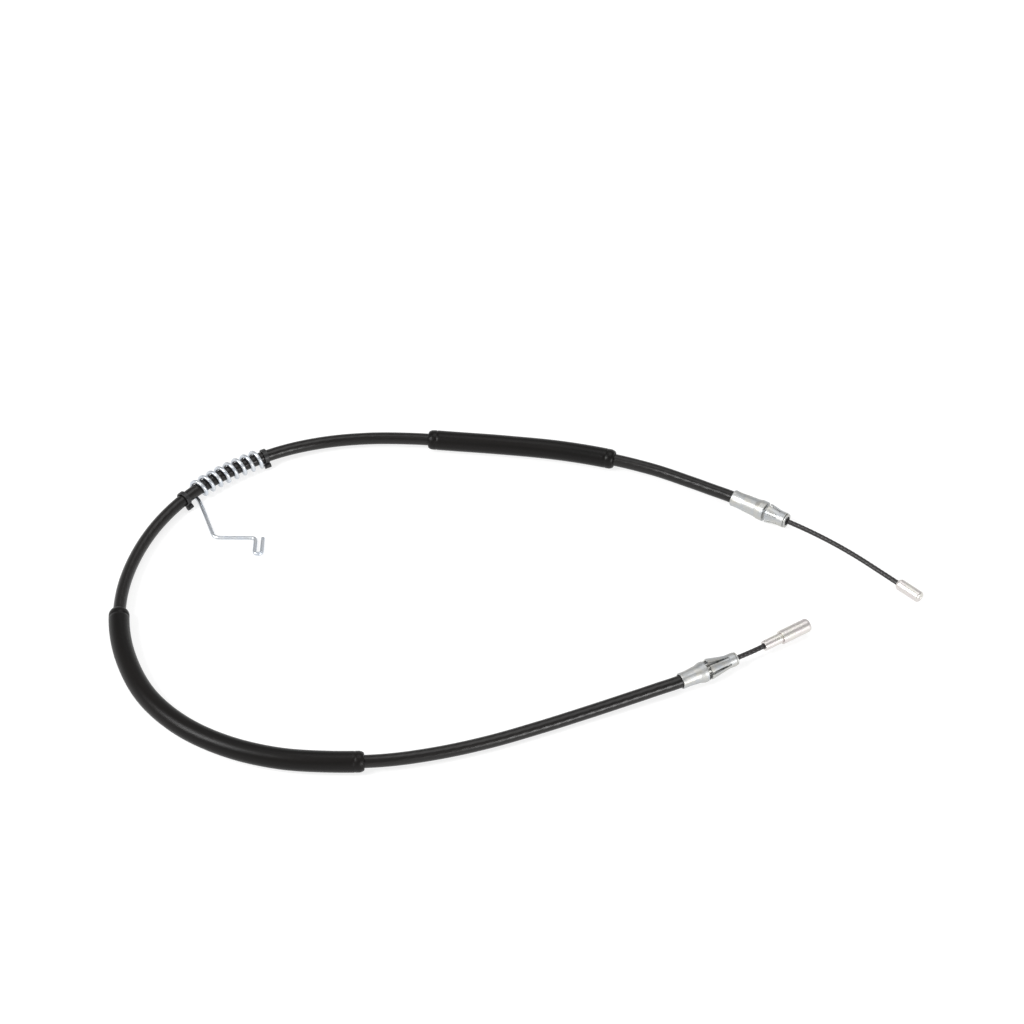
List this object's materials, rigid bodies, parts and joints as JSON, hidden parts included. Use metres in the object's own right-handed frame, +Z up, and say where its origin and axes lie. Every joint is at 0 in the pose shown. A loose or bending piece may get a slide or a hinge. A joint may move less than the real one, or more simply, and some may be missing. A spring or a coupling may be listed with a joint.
{
  "type": "parking brake cable",
  "caption": "Parking brake cable: a coated wire rope in a sleeved conduit with crimped snap-in ferrules, a guard spring and a terminal on each end.",
  "frame": {"origin": "centre of the footprint of the cable as it lies in its loop, on the surface it lies on", "axes": "+X along the length of the loop, from the bend at the guarded end to the two wire ends; +Y across the loop, from the rear half to the front half; +Z up"},
  "size_m": [0.5453, 0.3106, 0.0147],
  "materials": {
    "conduit_plastic": "extruded plastic cover, satin",
    "sleeve_plastic": "semi-gloss hose",
    "tie_plastic": "satin nylon",
    "liner_plastic": "natural low-friction plastic",
    "seal_rubber": "matte",
    "zinc_plate": "bright zinc plating",
    "spring_steel": "bright zinc-plated wire",
    "armour_steel": "bare flat wire",
    "coated_rope": "dark coated wire rope",
    "terminal_zinc": "satin swaged terminal"
  },
  "bodies": {
    "conduit": {"conduit_jacket": "conduit_plastic", "conduit_armour": "armour_steel", "conduit_liner": "liner_plastic", "inner_wire": "coated_rope", "upper_sleeve": "sleeve_plastic", "lower_sleeve": "sleeve_plastic", "guard_spring": "spring_steel", "front_tie_band": "tie_plastic", "rear_tie_band": "tie_plastic", "front_ferrule": "zinc_plate", "front_prong_retainer": "zinc_plate", "front_wiper_seal": "seal_rubber", "rear_ferrule": "zinc_plate", "rear_prong_retainer": "zinc_plate", "rear_wiper_seal": "seal_rubber"},
    "front_wire_end": {"front_wire": "coated_rope", "front_button": "terminal_zinc"},
    "rear_wire_end": {"rear_wire": "coated_rope", "rear_end_fitting": "terminal_zinc"}
  },
  "joints": [
    {"name": "front_wire_slide", "type": "slide", "parent": "conduit", "child": "front_wire_end", "axis": [0.8409, -0.5412, 0], "range_m": [-0.02, 0.02]},
    {"name": "rear_wire_slide", "type": "slide", "parent": "conduit", "child": "rear_wire_end", "axis": [0.8806, 0.4739, 0], "range_m": [-0.02, 0.02]}
  ],
  "couplings": [
    {"joint": "rear_wire_slide", "follows": "front_wire_slide", "ratio": -1}
  ]
}
